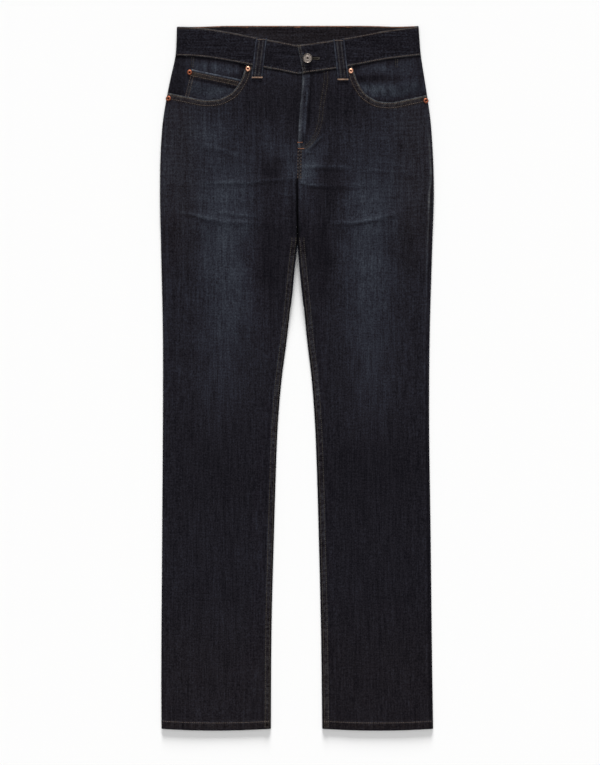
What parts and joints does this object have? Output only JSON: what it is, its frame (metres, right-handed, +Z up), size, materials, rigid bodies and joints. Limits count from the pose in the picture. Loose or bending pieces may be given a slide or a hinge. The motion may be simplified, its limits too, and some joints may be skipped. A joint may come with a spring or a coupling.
{
  "type": "slim fit jeans",
  "caption": "Slim fit five-pocket denim jeans with a zip fly, laid flat with the front up and the legs side by side.",
  "frame": {"origin": "centre of the garment's outline, on the surface that it lies on", "axes": "+X to the wearer's left, +Y towards the waist, +Z up, out of the garment's front"},
  "size_m": [0.4273, 1.0991, 0.0152],
  "materials": {
    "denim": "matte black-blue denim with soft fades",
    "facing_denim": "matte denim, a little lighter",
    "zip_tape": "woven zip tape",
    "button_metal": "aged nickel",
    "thread": "brown and olive topstitching thread",
    "rivet_copper": "aged copper"
  },
  "bodies": {
    "root": {"front_right": "denim", "front_left": "denim", "back_right": "denim", "back_left": "denim", "yoke_right": "denim", "yoke_left": "denim", "waistband_front_right": "denim", "waistband_front_left": "denim", "waistband_back": "denim", "facing_right": "facing_denim", "facing_left": "facing_denim", "coin_pocket": "facing_denim", "fly_shield": "denim", "fly_zip": "zip_tape", "loop_front_right": "denim", "loop_front_left": "denim", "loop_back_right": "denim", "loop_back_left": "denim", "loop_back_centre": "denim", "back_pocket_right": "denim", "back_pocket_left": "denim", "waist_button": "button_metal", "rivet_right_top": "rivet_copper", "rivet_left_top": "rivet_copper", "rivet_right_side": "rivet_copper", "rivet_left_side": "rivet_copper", "rivet_coin": "rivet_copper"}
  },
  "joints": []
}
